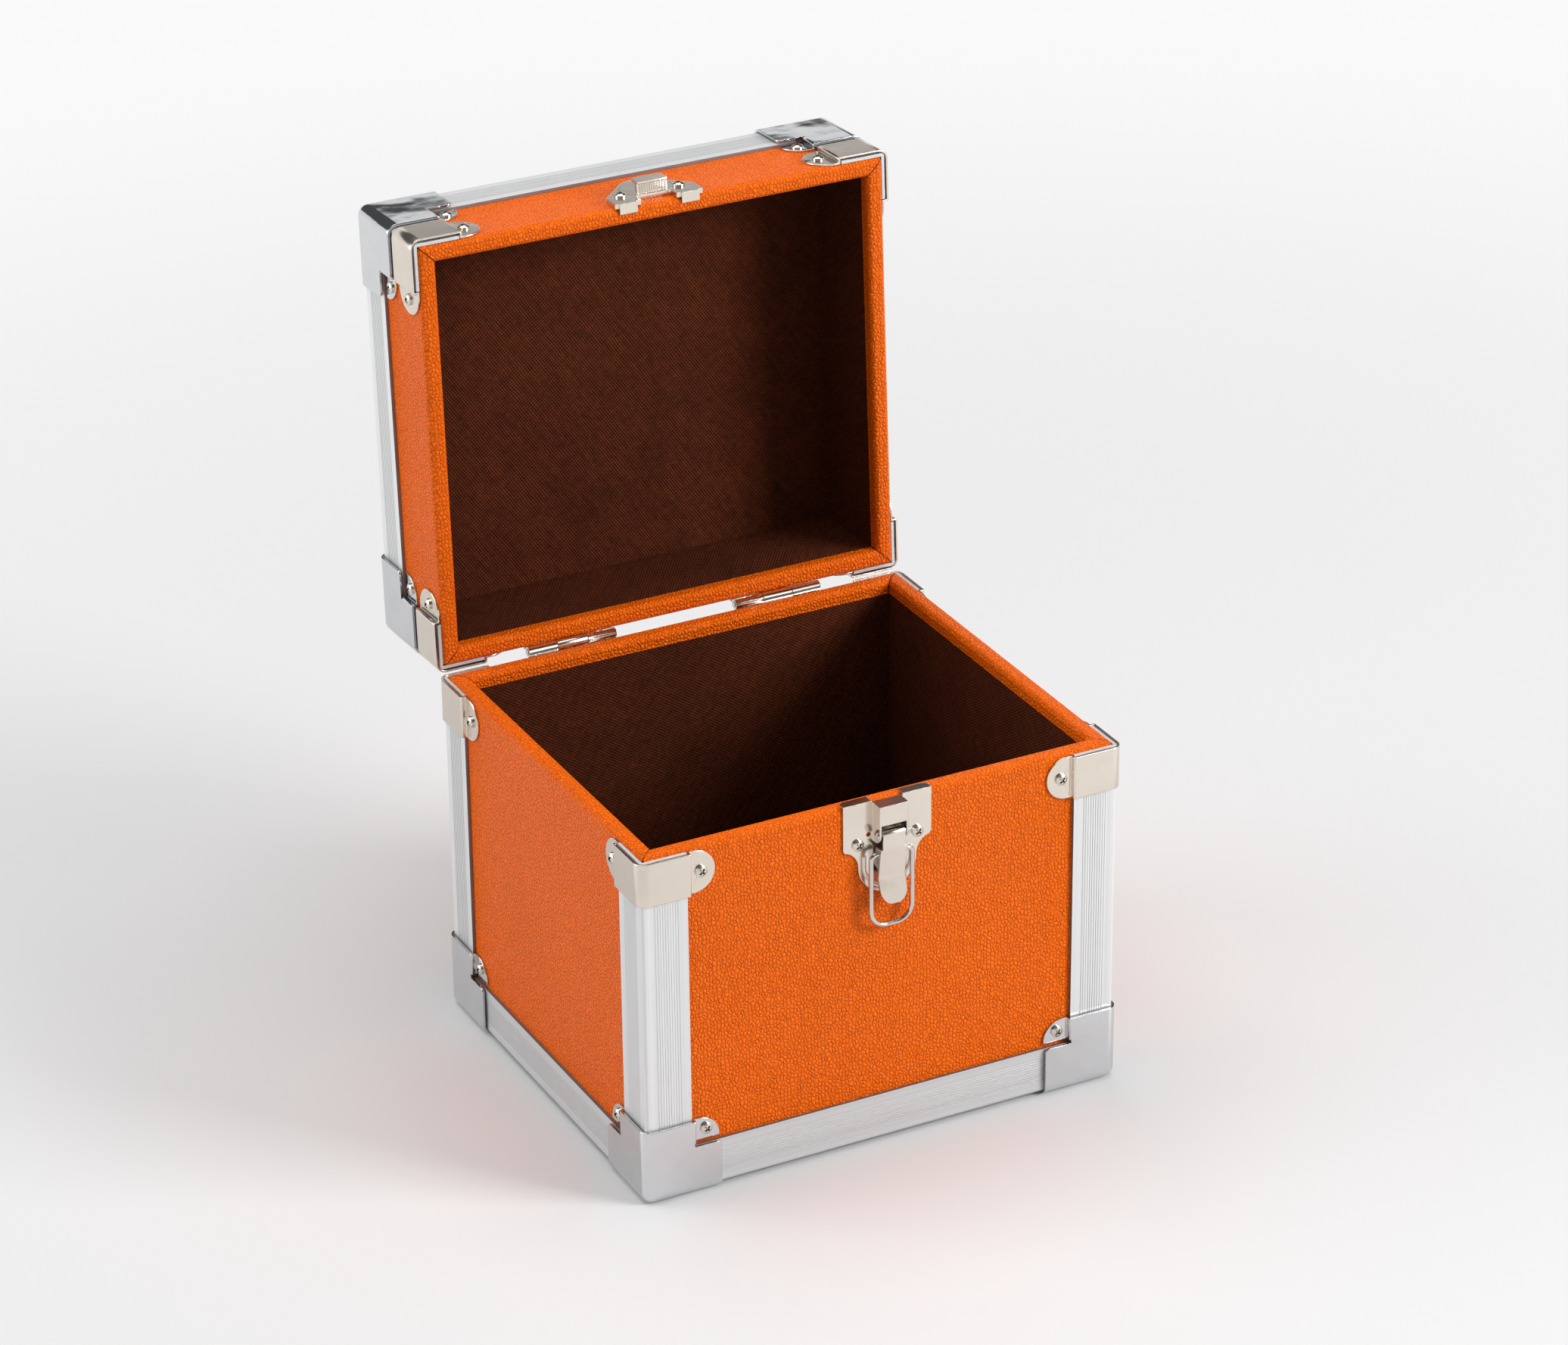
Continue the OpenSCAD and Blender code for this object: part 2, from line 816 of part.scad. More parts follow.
// Hinges on the back, drawn about their axis with Y pointing to the back

module at_hinge(s) {
    translate([s * hinge_x, axis_y, axis_z]) children();
}

module leaf_outline(top) {
    r = 3;
    w = hinge_len / 2;
    flat([-w, -leaf_h + r], [w, top]);
    flat([-w + r, -leaf_h], [w - r, -leaf_h + r]);
    for (s = [-1, 1]) {
        translate([s * (w - r), -leaf_h + r]) quarter(r, s, -1);
    }
}

// Leaf lying on the wall below the axis, with holes for its screws
module leaf_plate(top) {
    back = hd - axis_y;
    difference() {
        translate([0, back + leaf_t, 0]) rotate([90, 0, 0]) linear_extrude(leaf_t) leaf_outline(top);
        leaf_spots() screw_hole();
    }
}

// Places of the two screws of a leaf, Z pointing out of the wall
module leaf_spots() {
    for (s = [-1, 1]) {
        translate([s * leaf_screw_x, hd - axis_y, -leaf_screw_z]) rotate([-90, 0, 0]) children();
    }
}

module box_leaf() {
    clear = knuckle / 2 + knuckle_gap;
    difference() {
        union() {
            difference() {
                leaf_plate(-1.6);
                span([-clear, -3, -2.8], [clear, 3, 0]);
            }
            both_sides() translate([clear, 0, 0]) rotate([0, 90, 0])
                cylinder(h = hinge_len / 2 - clear, r = barrel_r);
        }
        translate([-hinge_len, 0, 0]) rotate([0, 90, 0])
            cylinder(h = 2 * hinge_len, r = hinge_pin_d / 2 + 0.02);
    }
}

// Leaf of the lid, drawn for the shut lid
module lid_leaf_shut() {
    half = knuckle / 2;
    clear = half + knuckle_gap;
    difference() {
        union() {
            mirror([0, 0, 1]) difference() {
                leaf_plate(-1.6);
                both_sides() span([half, -3, -2.9], [hinge_len, 3, 0]);
            }
            translate([-half, 0, 0]) rotate([0, 90, 0]) cylinder(h = knuckle, r = barrel_r);
            // heel that stops the lid against the leaf of the box
            rotate([open_angle, 0, 0]) span([-half + 0.3, 0.05, -heel_len], [half - 0.3, 1.8, -1.2]);
        }
        translate([-hinge_len, 0, 0]) rotate([0, 90, 0])
            cylinder(h = 2 * hinge_len, r = hinge_pin_d / 2 + fit_gap);
    }
}

// Handle, drawn hanging from its pivots

module handle_arm_section() {
    difference() {
        union() {
            circle(hub_r);
            flat([-3.6, -handle_drop], [3.6, 0]);
            translate([0, -handle_drop]) circle(6);
        }
        circle(handle_pin_r + fit_gap);
    }
}

// Both arms joined by the core of the grip
module handle_frame() {
    both_sides() translate([arm_in + arm_t / 2, 0, 0]) along_x(arm_t) handle_arm_section();
    translate([-arm_in, 0, -handle_drop]) rotate([0, 90, 0]) cylinder(h = 2 * arm_in, r = 2.5);
}

module handle_grip_body() {
    r = grip_d / 2;
    half = arm_in - 0.5;
    translate([0, 0, -handle_drop]) rotate([0, 90, 0]) difference() {
        rotate_extrude() polygon([
            [0, -half], [r - 2, -half], [r - 0.6, -half + 0.6], [r, -half + 2],
            [r, half - 2], [r - 0.6, half - 0.6], [r - 2, half], [0, half]
        ]);
        cylinder(h = 3 * half, r = 2.55, center = true);
    }
}

// Bracket on the right of the lid's top face
module bracket() {
    r = 3;
    difference() {
        union() {
            linear_extrude(bracket_t) {
                flat([ear_in, -bracket_y / 2], [ear_in + bracket_x - r, bracket_y / 2]);
                flat([ear_in + bracket_x - r, -bracket_y / 2 + r], [ear_in + bracket_x, bracket_y / 2 - r]);
                for (s = [-1, 1]) {
                    translate([ear_in + bracket_x - r, s * (bracket_y / 2 - r)]) quarter(r, 1, s);
                }
            }
            translate([ear_in + ear_t / 2, 0, 0]) along_x(ear_t) {
                flat([-hub_r, bracket_t], [hub_r, pivot_up]);
                translate([0, pivot_up]) intersection() {
                    circle(hub_r);
                    flat([-hub_r - 1, 0], [hub_r + 1, hub_r + 1]);
                }
            }
        }
        bracket_spots() screw_hole();
        translate([0, 0, pivot_up]) rotate([0, 90, 0])
            cylinder(h = 2 * ear_in, r = handle_pin_r + 0.02);
    }
}

// Places of the two screws of the right bracket
module bracket_spots() {
    for (s = [-1, 1]) {
        translate([ear_in + bracket_screw[0], s * bracket_screw[1], 0]) children();
    }
}

module handle_pin() {
    in = arm_in - arm_gap;
    out = ear_in + ear_t;
    translate([0, 0, pivot_up]) rotate([0, 90, 0]) {
        translate([0, 0, in - 0.8]) cylinder(h = 0.8, r = 2.6);
        translate([0, 0, in]) cylinder(h = out - in, r = handle_pin_r);
        translate([0, 0, out]) cylinder(h = 0.8, r = 2.6);
    }
}

// The lid, turned from its shut place to its open one

module lid_open() {
    translate([0, axis_y, axis_z]) rotate([-open_angle, 0, 0])
        translate([0, -axis_y, -axis_z]) children();
}

// A tray turned over onto the box
module lid_tray() {
    translate([0, 0, lid_top]) mirror([0, 0, 1]) children();
}

// The handle hangs straight down from the open lid
module at_handle() {
    up = lid_top + pivot_up - axis_z;
    translate([
        0,
        axis_y - axis_y * cos(open_angle) + up * sin(open_angle),
        axis_z + axis_y * sin(open_angle) + up * cos(open_angle)
    ]) children();
}

module box_tray() {
    translate([0, 0, foot]) children();
}

// Holes in the walls for the screws of the latch, the keeper, the hinges and the handle

module latch_holes() {
    at_latch() both_sides() translate([latch_screw[0], 0, latch_screw[1]]) on_front() screw_hole();
}

module keeper_holes() {
    at_keeper() both_sides()
        translate([keeper_screw[0], 0, keeper_screw[1]]) on_front() screw_hole();
}

module box_hinge_holes() {
    for (s = [-1, 1]) {
        at_hinge(s) leaf_spots() screw_hole();
    }
}

module lid_hinge_holes() {
    for (s = [-1, 1]) {
        at_hinge(s) mirror([0, 0, 1]) leaf_spots() screw_hole();
    }
}

module handle_holes() {
    translate([0, 0, lid_top]) both_sides() bracket_spots() screw_hole();
}

// Colours of the pieces
orange = "chocolate";
brown = "saddlebrown";
ply = "burlywood";
metal = "silver";
bright = "gainsboro";

// Pieces of the box

module box_front_board() {
    color(ply) difference() {
        box_tray() long_board(case_w, case_d, box_h, -1);
        latch_holes();
    }
}

module box_back_board() {
    color(ply) difference() {
        box_tray() long_board(case_w, case_d, box_h, 1);
        box_hinge_holes();
    }
}

module box_left_board() {
    color(ply) box_tray() side_board(case_w, case_d, box_h, -1);
}

module box_right_board() {
    color(ply) box_tray() side_board(case_w, case_d, box_h, 1);
}

module box_floor_board() {
    color(ply) box_tray() face_board(case_w, case_d);
}

module box_covering() {
    color(orange) difference() {
        box_tray() covering(case_w, case_d, box_h);
        latch_holes();
        box_hinge_holes();
    }
}

module box_lining() {
    color(brown) box_tray() lining(case_w, case_d, box_h);
}

module box_upright_edgings() {
    color(metal) box_tray() upright_edgings(case_w, case_d, box_h);
}

module box_base_edgings() {
    color(metal) box_tray() face_edgings(case_w, case_d);
}

module box_corner_front_left() {
    color(bright) box_tray() at_corner(case_w, case_d, 0, 0) corner_fitting();
}

module box_corner_front_right() {
    color(bright) box_tray() at_corner(case_w, case_d, 1, 0) corner_fitting();
}

module box_corner_back_left() {
    color(bright) box_tray() at_corner(case_w, case_d, 0, 1) corner_fitting();
}

module box_corner_back_right() {
    color(bright) box_tray() at_corner(case_w, case_d, 1, 1) corner_fitting();
}

module box_clamp_front_left() {
    color(metal) box_tray() at_corner(case_w, case_d, 0, 0) band_clamp(box_h);
}

module box_clamp_front_right() {
    color(metal) box_tray() at_corner(case_w, case_d, 1, 0) band_clamp(box_h);
}

module box_clamp_back_left() {
    color(metal) box_tray() at_corner(case_w, case_d, 0, 1) band_clamp(box_h);
}

module box_clamp_back_right() {
    color(metal) box_tray() at_corner(case_w, case_d, 1, 1) band_clamp(box_h);
}

module box_corner_screws() {
    color(metal) box_tray() tray_corner_screws(case_w, case_d);
}

module box_clamp_screws() {
    color(metal) box_tray() tray_clamp_screws(case_w, case_d, box_h);
}

module latch_plate() {
    color(metal) at_latch() latch_plate_body();
}

module latch_pin() {
    color(metal) at_latch() translate([0, -pin_at[0], pin_at[1]]) rotate([0, 90, 0]) {
        cylinder(h = 2 * channel_x, r = pin_r, center = true);
        for (s = [0, 1]) {
            mirror([0, 0, s]) translate([0, 0, channel_x]) cylinder(h = 0.7, r = 1.6);
        }
    }
}

module latch_screws() {
    color(metal) at_latch() both_sides() translate([latch_screw[0], 0, latch_screw[1]])
        on_front() screw(latch_t);
}

module hinge_box_leaf_left() {
    color(metal) at_hinge(-1) box_leaf();
}

module hinge_box_leaf_right() {
    color(metal) at_hinge(1) box_leaf();
}

module hinge_pins() {
    color(metal) for (s = [-1, 1]) {
        at_hinge(s) rotate([0, 90, 0]) cylinder(h = hinge_len + 0.6, r = hinge_pin_d / 2, center = true);
    }
}

module hinge_box_screws() {
    color(metal) for (s = [-1, 1]) {
        at_hinge(s) leaf_spots() screw(leaf_t);
    }
}

// Pieces of the lid

module lid_front_board() {
    color(ply) lid_open() difference() {
        lid_tray() long_board(case_w, case_d, lid_h, -1);
        keeper_holes();
    }
}

module lid_back_board() {
    color(ply) lid_open() difference() {
        lid_tray() long_board(case_w, case_d, lid_h, 1);
        lid_hinge_holes();
    }
}

module lid_left_board() {
    color(ply) lid_open() lid_tray() side_board(case_w, case_d, lid_h, -1);
}

module lid_right_board() {
    color(ply) lid_open() lid_tray() side_board(case_w, case_d, lid_h, 1);
}

module lid_top_board() {
    color(ply) lid_open() difference() {
        lid_tray() face_board(case_w, case_d);
        handle_holes();
    }
}

module lid_covering() {
    color(orange) lid_open() difference() {
        lid_tray() covering(case_w, case_d, lid_h);
        keeper_holes();
        lid_hinge_holes();
        handle_holes();
    }
}

module lid_lining() {
    color(brown) lid_open() lid_tray() lining(case_w, case_d, lid_h);
}

module lid_upright_edgings() {
    color(metal) lid_open() lid_tray() upright_edgings(case_w, case_d, lid_h);
}

module lid_top_edgings() {
    color(metal) lid_open() lid_tray() face_edgings(case_w, case_d);
}

module lid_corner_front_left() {
    color(bright) lid_open() lid_tray() at_corner(case_w, case_d, 0, 0) corner_fitting();
}

module lid_corner_front_right() {
    color(bright) lid_open() lid_tray() at_corner(case_w, case_d, 1, 0) corner_fitting();
}

module lid_corner_back_left() {
    color(bright) lid_open() lid_tray() at_corner(case_w, case_d, 0, 1) corner_fitting();
}

module lid_corner_back_right() {
    color(bright) lid_open() lid_tray() at_corner(case_w, case_d, 1, 1) corner_fitting();
}

module lid_clamp_front_left() {
    color(metal) lid_open() lid_tray() at_corner(case_w, case_d, 0, 0) band_clamp(lid_h);
}

module lid_clamp_front_right() {
    color(metal) lid_open() lid_tray() at_corner(case_w, case_d, 1, 0) band_clamp(lid_h);
}

module lid_clamp_back_left() {
    color(metal) lid_open() lid_tray() at_corner(case_w, case_d, 0, 1) band_clamp(lid_h);
}

module lid_clamp_back_right() {
    color(metal) lid_open() lid_tray() at_corner(case_w, case_d, 1, 1) band_clamp(lid_h);
}

module lid_corner_screws() {
    color(metal) lid_open() lid_tray() tray_corner_screws(case_w, case_d);
}

module lid_clamp_screws() {
    color(metal) lid_open() lid_tray() tray_clamp_screws(case_w, case_d, lid_h);
}

module keeper() {
    color(metal) lid_open() at_keeper() keeper_body();
}

module keeper_screws() {
    color(metal) lid_open() at_keeper() both_sides()
        translate([keeper_screw[0], 0, keeper_screw[1]]) on_front() screw(keeper_rise + latch_t);
}

module hinge_lid_leaf_left() {
    color(metal) lid_open() at_hinge(-1) lid_leaf_shut();
}

module hinge_lid_leaf_right() {
    color(metal) lid_open() at_hinge(1) lid_leaf_shut();
}

module hinge_lid_screws() {
    color(metal) lid_open() for (s = [-1, 1]) {
        at_hinge(s) mirror([0, 0, 1]) leaf_spots() screw(leaf_t);
    }
}

module handle_bracket_left() {
    color(metal) lid_open() translate([0, 0, lid_top]) mirror([1, 0, 0]) bracket();
}

module handle_bracket_right() {
    color(metal) lid_open() translate([0, 0, lid_top]) bracket();
}

module handle_pins() {
    color(metal) lid_open() translate([0, 0, lid_top]) both_sides() handle_pin();
}

module handle_screws() {
    color(metal) lid_open() translate([0, 0, lid_top]) both_sides() bracket_spots() screw(bracket_t);
}

// Moving pieces of the latch and the handle

module latch_lever() {
    color(metal) at_latch() lever();
}

module latch_bail() {
    color(bright) at_latch() bail();
}

module handle_arms() {
    color(metal) at_handle() handle_frame();
}

module handle_grip() {
    color(orange) at_handle() handle_grip_body();
}

box_front_board();
box_back_board();
box_left_board();
box_right_board();
box_floor_board();
box_covering();
box_lining();
box_upright_edgings();
box_base_edgings();
box_corner_front_left();
box_corner_front_right();
box_corner_back_left();
box_corner_back_right();
box_clamp_front_left();
box_clamp_front_right();
box_clamp_back_left();
box_clamp_back_right();
box_corner_screws();
box_clamp_screws();
latch_plate();
latch_pin();
latch_screws();
hinge_box_leaf_left();
hinge_box_leaf_right();
hinge_pins();
hinge_box_screws();
lid_front_board();
lid_back_board();
lid_left_board();
lid_right_board();
lid_top_board();
lid_covering();
lid_lining();
lid_upright_edgings();
lid_top_edgings();
lid_corner_front_left();
lid_corner_front_right();
lid_corner_back_left();
lid_corner_back_right();
lid_clamp_front_left();
lid_clamp_front_right();
lid_clamp_back_left();
lid_clamp_back_right();
lid_corner_screws();
lid_clamp_screws();
keeper();
keeper_screws();
hinge_lid_leaf_left();
hinge_lid_leaf_right();
hinge_lid_screws();
handle_bracket_left();
handle_bracket_right();
handle_pins();
handle_screws();
latch_lever();
latch_bail();
handle_arms();
handle_grip();
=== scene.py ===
"""Looks for the record carrying case: materials, softened edges, floor, light and camera."""

import json
import math

import bmesh
import bpy
from mathutils import Matrix, Vector

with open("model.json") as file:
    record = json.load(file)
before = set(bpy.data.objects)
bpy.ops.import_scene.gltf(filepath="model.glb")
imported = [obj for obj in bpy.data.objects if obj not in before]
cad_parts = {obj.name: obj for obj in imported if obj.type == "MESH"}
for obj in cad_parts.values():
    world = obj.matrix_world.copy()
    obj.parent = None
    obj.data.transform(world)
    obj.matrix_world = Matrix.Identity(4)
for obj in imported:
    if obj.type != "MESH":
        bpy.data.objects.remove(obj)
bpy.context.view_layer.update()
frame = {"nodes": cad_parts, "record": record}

# Sizes of the case, as the solids have them. Every length in this file is in metres
# and every scale of a texture is in features a metre.
HALF_W = 0.105
HALF_D = 0.091
BOX_TOP = 0.155
RIM_GAP = 0.002
WALL_T = 0.0074

# The lid is drawn open, turned by this angle about its hinge line
OPEN_ANGLE = math.radians(93)
AXIS_Y = 0.0922
AXIS_Z = 0.156


# Ways to add nodes

# Most values of a noise lie between these
NOISE_LOW = 0.3
NOISE_HIGH = 0.7
# A face looks along an axis where its normal has more than this share of it
FACING = 0.7


class Nodes:
    """A node tree, with short ways to add to it."""

    def __init__(self, tree):
        self.tree = tree
        tree.nodes.clear()

    def put(self, socket, value):
        """Link a socket to another one, or give it a value."""
        if isinstance(value, bpy.types.NodeSocket):
            self.tree.links.new(value, socket)
        elif value is not None:
            if socket.type == "RGBA" and len(value) == 3:
                value = (*value, 1.0)
            socket.default_value = value

    def fill(self, node, **values):
        """Fill the named sockets of a node, each written with _ for a space."""
        for name, value in values.items():
            self.put(node.inputs[name.replace("_", " ")], value)
        return node

    def add(self, kind, **values):
        return self.fill(self.tree.nodes.new("ShaderNode" + kind), **values)

    def in_order(self, node, *values):
        """Fill the sockets of a node in their order, and give its first output."""
        for socket, value in zip(node.inputs, values):
            self.put(socket, value)
        return node.outputs[0]

    def math(self, op, a, b=0.5, c=0.5):
        node = self.add("Math")
        node.operation = op
        return self.in_order(node, a, b, c)

    def product(self, value, *others):
        """All the values multiplied, from the left."""
        for other in others:
            value = self.math("MULTIPLY", value, other)
        return value

    def invert(self, value):
        return self.math("SUBTRACT", 1.0, value)

    def choose(self, switch, off, on):
        """One value where the switch is 0 and another where it is 1."""
        return self.math("ADD", self.product(on, switch), self.product(off, self.invert(switch)))

    def wave(self, phase):
        """A cosine brought to between 0 and 1."""
        return self.math("MULTIPLY_ADD", self.math("COSINE", phase), 0.5, 0.5)

    def vec(self, op, a, b=None, scale=None):
        node = self.add("VectorMath")
        node.operation = op
        self.put(node.inputs[0], a)
        self.put(node.inputs[1], b)
        if scale is not None:
            self.put(node.inputs["Scale"], scale)
        return node.outputs["Value" if op in ("LENGTH", "DOT_PRODUCT") else "Vector"]

    def split(self, vector):
        return tuple(self.add("SeparateXYZ", Vector=vector).outputs)

    def join(self, x, y, z):
        return self.add("CombineXYZ", X=x, Y=y, Z=z).outputs[0]

    def remap(self, value, low, high, to_low=0.0, to_high=1.0, smooth=False):
        node = self.add(
            "MapRange", Value=value, From_Min=low, From_Max=high, To_Min=to_low, To_Max=to_high
        )
        node.interpolation_type = "SMOOTHSTEP" if smooth else "LINEAR"
        return node.outputs["Result"]

    def spread(self, noise, to_low, to_high):
        """A noise brought to the range given."""
        return self.remap(noise, NOISE_LOW, NOISE_HIGH, to_low, to_high)

    def mix(self, factor, a, b, blend="MIX"):
        node = self.add("Mix")
        node.data_type = "RGBA"
        node.blend_type = blend
        self.put(node.inputs["Factor"], factor)
        colours = [s for s in node.inputs if s.type == "RGBA"]
        for socket, value in zip(colours, (a, b)):
            self.put(socket, value)
        return [s for s in node.outputs if s.type == "RGBA"][0]

    def toned(self, colour, tone):
        """A colour made darker or lighter by a tone."""
        return self.mix(1.0, colour, self.join(tone, tone, tone), "MULTIPLY")

    def blend(self, factor, a, b):
        """Two shaders mixed."""
        return self.in_order(self.add("MixShader"), factor, a, b)

    def background(self, colour, strength=1.0):
        return self.add("Background", Color=colour, Strength=strength).outputs[0]

    def rays(self, kind, *others):
        """One for the kinds of rays named, and zero for the rest."""
        path = self.add("LightPath")
        found = path.outputs[f"Is {kind} Ray"]
        for other in others:
            found = self.math("MAXIMUM", found, path.outputs[f"Is {other} Ray"])
        return found


class Shader(Nodes):
    """A material's node tree, round one principled shader."""

    def __init__(self, name):
        self.mat = bpy.data.materials.new(name)
        self.mat.use_nodes = True
        super().__init__(self.mat.node_tree)
        self.out = self.add("OutputMaterial")
        self.bsdf = self.add("BsdfPrincipled")
        self.put(self.out.inputs[0], self.bsdf.outputs[0])

    def set(self, **values):
        self.fill(self.bsdf, **values)

    def turn_back(self, vector, kind, **shift):
        """Turn a vector of the open lid to where it lies with the lid shut."""
        node = self.add("Mapping", Vector=vector, Rotation=(OPEN_ANGLE, 0, 0), **shift)
        node.vector_type = kind
        return node.outputs[0]

    def coords(self, turned=False):
        """Object coordinates, turned back to the shut lid's place where asked."""
        place = self.add("TexCoord").outputs["Object"]
        if not turned:
            return place
        from_axis = self.vec("ADD", place, (0, -AXIS_Y, -AXIS_Z))
        return self.turn_back(from_axis, "POINT", Location=(0, AXIS_Y, AXIS_Z))

    def normal(self, turned=False):
        facing = self.add("TexCoord").outputs["Normal"]
        return self.turn_back(facing, "VECTOR") if turned else facing

    def noise(self, vector, scale, detail=2.0, rough=0.5, output="Fac"):
        node = self.add("TexNoise", Vector=vector, Scale=scale, Detail=detail, Roughness=rough)
        return node.outputs[output]

    def cells(self, vector, scale, feature="F1", output="Distance", random=1.0, flat=False):
        node = self.add("TexVoronoi", Vector=vector, Scale=scale, Randomness=random)
        node.voronoi_dimensions = "2D" if flat else "3D"
        node.feature = feature
        return node.outputs[output]

    def planar(self, p, turned=False):
        """Places measured along the face, as [across, up]."""
        nx, _, nz = self.split(self.vec("ABSOLUTE", self.normal(turned)))
        x, y, z = self.split(p)
        side = self.math("GREATER_THAN", nx, FACING)
        level = self.math("GREATER_THAN", nz, FACING)
        return self.choose(side, x, y), self.choose(level, z, y)

    def open_sky(self, reach):
        """How open the surface is within the reach given: low in recesses."""
        node = self.add("AmbientOcclusion", Distance=reach)
        node.samples = 4
        node.only_local = True
        return node.outputs["AO"]

    def rounded(self, radius):
        """Normals turned over the edges, as on pressed and tumbled metal."""
        node = self.add("Bevel", Radius=radius)
        node.samples = 6
        return node.outputs[0]

    def bump(self, height, distance, strength=1.0, normal=None):
        node = self.add(
            "Bump", Strength=strength, Distance=distance, Height=height, Normal=normal
        )
        return node.outputs[0]


# Leatherette

LEATHER = (1.0, 0.160, 0.0006)
# The crease colour is painted shade in the creases
LEATHER_CREASE_SHADE = (0.30, 0.022, 0.0005)
LEATHER_SEAM = (0.060, 0.012, 0.003)
LEATHER_RELIEF = 0.00048
PEBBLE_SCALE = 650.0
PEBBLE_RANDOM = 0.86
PEBBLE_SQUEEZE = (1.0, 0.82, 1.0)
# Pebbles aren't straight sided: their places wander by up to half of this
WANDER = 0.0013
WANDER_SCALE = 430.0
PEBBLE_TONES = (0.96, 1.05)
# Creases close where the cloud is low, down to a share of their depth
LEATHER_CLOUD_SCALE = 420.0
LEATHER_CLOUD_TONES = (0.96, 1.04)
HELD_BETWEEN = (0.34, 0.60)
HELD_SHARE = (0.5, 1.0)
LEATHER_SHADE_SCALE = 13.0
LEATHER_SHADE_TONES = (0.965, 1.03)
# Roughness on the pebbles and in the creases, and how much the cloud changes it
LEATHER_ROUGH = (0.34, 0.66)
LEATHER_ROUGH_SPREAD = 0.04
LEATHER_SPECULAR = 0.14
# Creases between pebbles and finer ones across them: widths are shares of a cell. The creases are
# darkened towards the crease colour as painted shade, by the shares below
CRACK_WIDTH = 0.15
CRACK_SHADE = 0.80
HAIR_SCALE = 1450.0
HAIR_WIDTH = 0.16
HAIR_SHADE = 0.16
HAIR_DEPTH = 0.14
# Pebbles rise from their edges over a share of a cell, and keep the least share of their
# height however nearly their creases close
DOME_WIDTH = 0.42
DOME_LEAST = 0.4
GRAIN_SCALE = 3600.0
GRAIN_DEPTH = 0.10
# Cut of the covering at the rim's corners: dark up to the first distance, gone at the second
SEAM_DARK = 0.00008
SEAM_GONE = 0.00034
SEAM_WOBBLE = 0.00006
SEAM_WOBBLE_SCALE = 300.0
SEAM_DEPTH = 1.2
# The rim's faces lie this near its height, and this far past the wall's thickness
RIM_REACH = 0.0062
RIM_SPARE = 0.0004


def off_seam(s, p, turned):
    """Zero on the cuts of the rim's corners, made at 45 degrees and butted, and one elsewhere."""
    x, y, z = s.split(p)
    across = s.math("SUBTRACT", s.math("ABSOLUTE", x), HALF_W)
    along = s.math("SUBTRACT", s.math("ABSOLUTE", y), HALF_D)
    off = s.math("ABSOLUTE", s.math("SUBTRACT", across, along))
    wobble = s.spread(s.noise(p, SEAM_WOBBLE_SCALE), -SEAM_WOBBLE, SEAM_WOBBLE)
    off = s.math("ADD", off, wobble)
    rim = BOX_TOP + RIM_GAP if turned else BOX_TOP
    from_rim = s.math("ABSOLUTE", s.math("SUBTRACT", z, rim))
    on_rim = s.math("LESS_THAN", from_rim, RIM_REACH)
    inside = s.math("GREATER_THAN", across, -WALL_T - RIM_SPARE)
    faded = s.remap(off, SEAM_DARK, SEAM_GONE, smooth=True)
    return s.math("MAXIMUM", faded, s.invert(s.product(on_rim, inside)))


